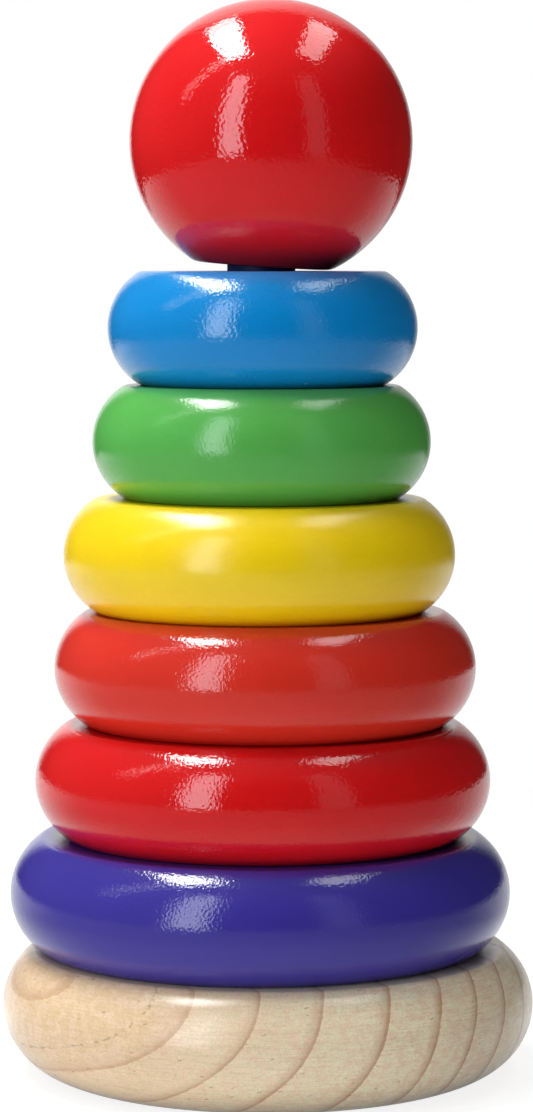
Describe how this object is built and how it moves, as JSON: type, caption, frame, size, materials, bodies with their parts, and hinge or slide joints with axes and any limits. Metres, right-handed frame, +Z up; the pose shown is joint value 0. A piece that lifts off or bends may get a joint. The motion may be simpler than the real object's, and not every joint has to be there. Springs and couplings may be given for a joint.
{
  "type": "stacking tower",
  "caption": "Wooden stacking toy: gloss-painted crowned rings of falling size threaded on a peg in a natural wood base and capped by a ball; rings and ball lift off.",
  "frame": {"origin": "centre of the base's flat underside", "axes": "+Z up along the peg; +X to the right and +Y away from the viewer as the picture shows the tower"},
  "size_m": [0.0944, 0.0944, 0.1893],
  "materials": {
    "natural_wood": "pale growth-ringed wood under a satin clear lacquer",
    "dark_blue_paint": "gloss dark blue paint on wood",
    "purple_paint": "gloss purple paint on wood",
    "red_paint": "gloss red paint on wood",
    "orange_paint": "gloss orange-red paint on wood",
    "yellow_paint": "gloss yellow paint on wood",
    "green_paint": "gloss green paint on wood",
    "blue_paint": "gloss blue paint on wood"
  },
  "bodies": {
    "stand": {"base": "natural_wood", "peg": "dark_blue_paint"},
    "purple_lifted": {"purple_ring": "purple_paint"},
    "red_lifted": {"red_ring": "red_paint"},
    "orange_lifted": {"orange_ring": "orange_paint"},
    "yellow_lifted": {"yellow_ring": "yellow_paint"},
    "green_lifted": {"green_ring": "green_paint"},
    "blue_lifted": {"blue_ring": "blue_paint"},
    "ball_lifted": {"ball": "red_paint"}
  },
  "joints": [
    {"name": "purple_ring_lift", "type": "slide", "parent": "stand", "child": "purple_lifted", "axis": [0, 0, 1], "range_m": [0, 0.144]},
    {"name": "red_ring_lift", "type": "slide", "parent": "purple_lifted", "child": "red_lifted", "axis": [0, 0, 1], "range_m": [0, 0.124]},
    {"name": "orange_ring_lift", "type": "slide", "parent": "red_lifted", "child": "orange_lifted", "axis": [0, 0, 1], "range_m": [0, 0.104]},
    {"name": "yellow_ring_lift", "type": "slide", "parent": "orange_lifted", "child": "yellow_lifted", "axis": [0, 0, 1], "range_m": [0, 0.084]},
    {"name": "green_ring_lift", "type": "slide", "parent": "yellow_lifted", "child": "green_lifted", "axis": [0, 0, 1], "range_m": [0, 0.064]},
    {"name": "blue_ring_lift", "type": "slide", "parent": "green_lifted", "child": "blue_lifted", "axis": [0, 0, 1], "range_m": [0, 0.044]},
    {"name": "ball_lift", "type": "slide", "parent": "blue_lifted", "child": "ball_lifted", "axis": [0, 0, 1], "range_m": [0, 0.024]}
  ]
}
